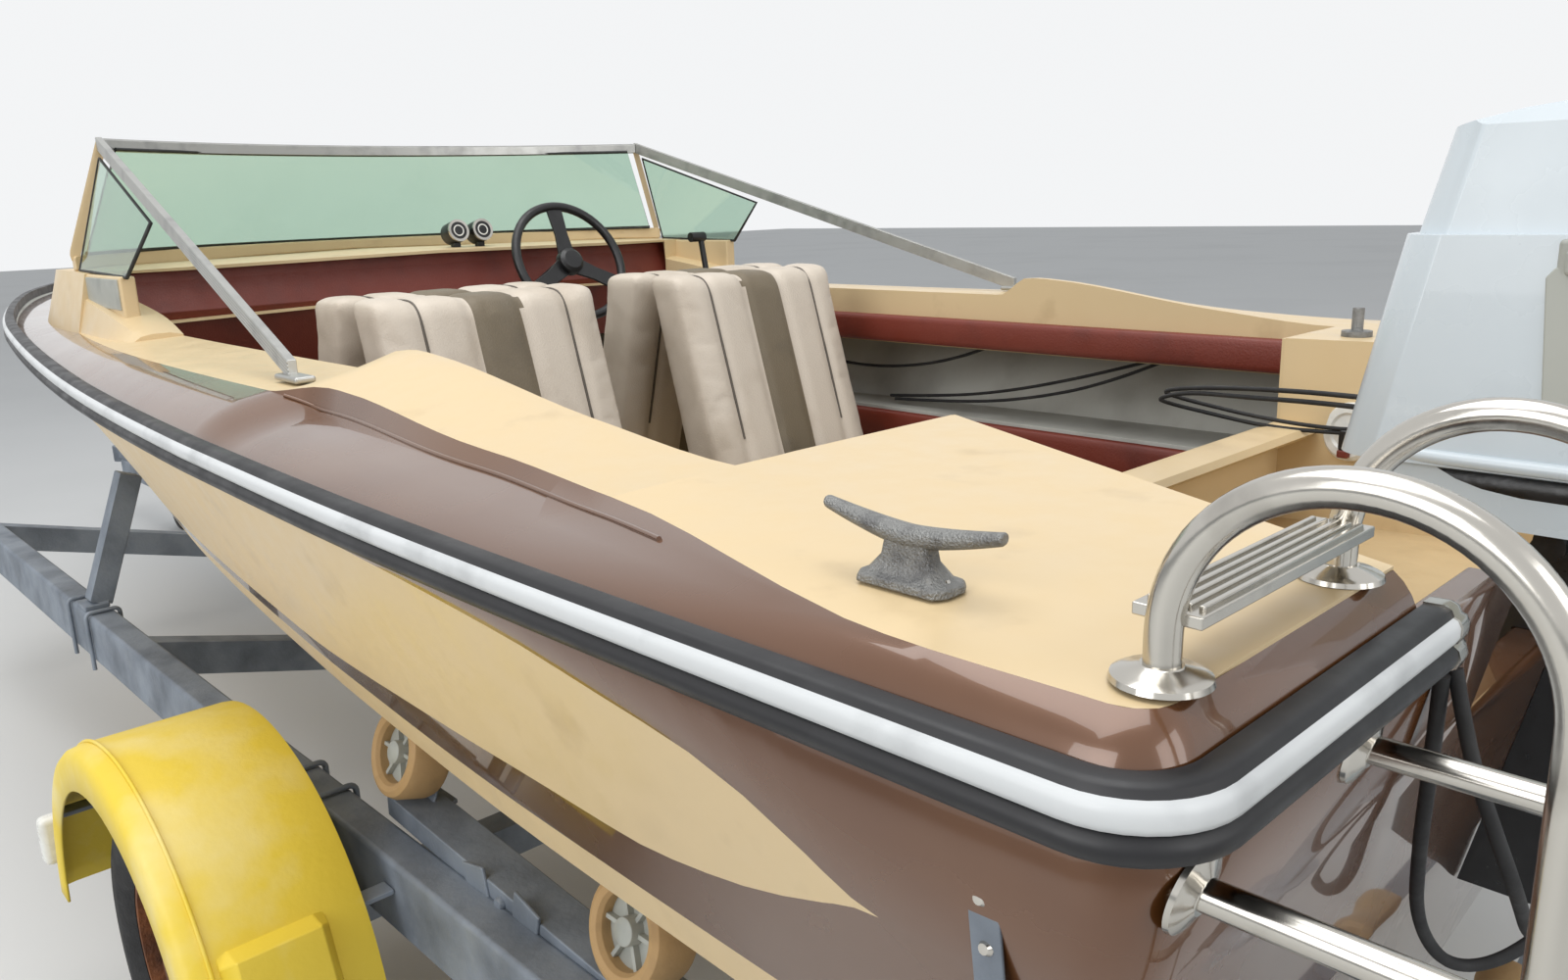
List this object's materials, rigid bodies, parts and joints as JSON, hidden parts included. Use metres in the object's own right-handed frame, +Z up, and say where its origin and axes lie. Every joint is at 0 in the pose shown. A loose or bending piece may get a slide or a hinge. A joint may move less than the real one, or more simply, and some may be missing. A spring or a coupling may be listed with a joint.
{
  "type": "open outboard speedboat on its road trailer",
  "caption": "Open runabout speedboat with wraparound windscreen, back-to-back seats and outboard motor, resting on its road trailer.",
  "frame": {"origin": "on the floor, under the middle of the whole boat and trailer", "axes": "+X towards the bow and the coupling, +Y to port, +Z up"},
  "size_m": [6.72, 2.5, 1.616],
  "materials": {
    "gelcoat_brown": "gloss metallic brown gelcoat",
    "gelcoat_cream": "gloss cream gelcoat",
    "rail_rubber": "black rubber with a white insert",
    "carpet": "short pile",
    "liner_grey": "painted laminate",
    "vinyl_red": "red-brown vinyl",
    "vinyl_cream": "cream vinyl with a taupe panel",
    "anodised": "ribbed anodised extrusion",
    "glass": "green-tinted",
    "black_plastic": "satin",
    "cast_alloy": "pitted casting",
    "stainless": "polished tube",
    "galvanised": "dull galvanised",
    "tyre": "road tyre",
    "rusty_steel": "rusty steel",
    "fender_yellow": "worn yellow plastic",
    "roller_rubber": "tan rubber",
    "black_rubber": "matt",
    "motor_black": "semi-gloss with chips",
    "motor_white": "gloss white"
  },
  "bodies": {
    "boat_on_trailer": {"hull": "gelcoat_brown", "deck": "gelcoat_cream", "rub_rail": "rail_rubber", "cockpit_floor": "carpet", "side_lockers": "liner_grey", "side_padding": "vinyl_red", "dashboard": "vinyl_red", "seat_bases": "gelcoat_cream", "seat_cushions": "vinyl_cream", "seat_backs": "vinyl_cream", "windscreen_frame": "anodised", "windscreen_glass": "glass", "windscreen_base": "gelcoat_cream", "helm_column": "black_plastic", "throttle_control": "black_plastic", "gauges": "black_plastic", "mooring_fittings": "cast_alloy", "stub_post": "cast_alloy", "boarding_ladder": "stainless", "trailer_rails": "galvanised", "cross_members": "galvanised", "drawbar": "galvanised", "coupling": "galvanised", "axle": "galvanised", "fenders": "fender_yellow", "hull_rollers": "roller_rubber", "roller_arms": "galvanised", "bow_posts": "galvanised", "winch_stand": "galvanised", "bow_snubber": "black_rubber", "jockey_clamp": "galvanised", "clamp_bracket": "motor_black"},
    "wheel_port": {"tyre_port": "tyre", "rim_port": "rusty_steel"},
    "wheel_starboard": {"tyre_starboard": "tyre", "rim_starboard": "rusty_steel"},
    "jockey_leg": {"jockey_fork": "galvanised"},
    "jockey_wheel": {"jockey_wheel": "black_rubber"},
    "steering_wheel": {"steering_wheel": "black_plastic"},
    "motor_swivel": {"swivel_bracket": "motor_black"},
    "motor": {"motor_leg": "motor_white", "gearcase": "motor_white", "engine_block": "motor_black", "motor_cowl": "motor_white"},
    "propeller": {"propeller": "cast_alloy"}
  },
  "joints": [
    {"name": "wheel_port_spin", "type": "hinge", "parent": "boat_on_trailer", "child": "wheel_port", "pos_m": [-1.27, 1.118, 0.285], "axis": [0, 1, 0], "continuous": true},
    {"name": "wheel_starboard_spin", "type": "hinge", "parent": "boat_on_trailer", "child": "wheel_starboard", "pos_m": [-1.27, -1.118, 0.285], "axis": [0, 1, 0], "continuous": true},
    {"name": "jockey_swivel", "type": "hinge", "parent": "boat_on_trailer", "child": "jockey_leg", "pos_m": [2.83, -0.08, 0.36], "axis": [0, 0, 1], "continuous": true},
    {"name": "jockey_spin", "type": "hinge", "parent": "jockey_leg", "child": "jockey_wheel", "pos_m": [2.794, -0.08, 0.1], "axis": [0, 1, 0], "continuous": true},
    {"name": "motor_tilt", "type": "hinge", "parent": "boat_on_trailer", "child": "motor_swivel", "pos_m": [-2.79, 0, 1.04], "axis": [0, 1, 0], "range_deg": [0, 60]},
    {"name": "motor_steer", "type": "hinge", "parent": "motor_swivel", "child": "motor", "pos_m": [-2.96, 0, 0.86], "axis": [0, 0, 1], "range_deg": [-30, 30]},
    {"name": "propeller_spin", "type": "hinge", "parent": "motor", "child": "propeller", "pos_m": [-3.3, 0, 0.23], "axis": [1, 0, 0], "continuous": true},
    {"name": "steering_wheel_turn", "type": "hinge", "parent": "boat_on_trailer", "child": "steering_wheel", "pos_m": [-0.27, -0.31, 1.285], "axis": [0.9063, 0, -0.4226], "range_deg": [-540, 540]}
  ],
  "couplings": [
    {"joint": "steering_wheel_turn", "follows": "motor_steer", "ratio": 18}
  ]
}
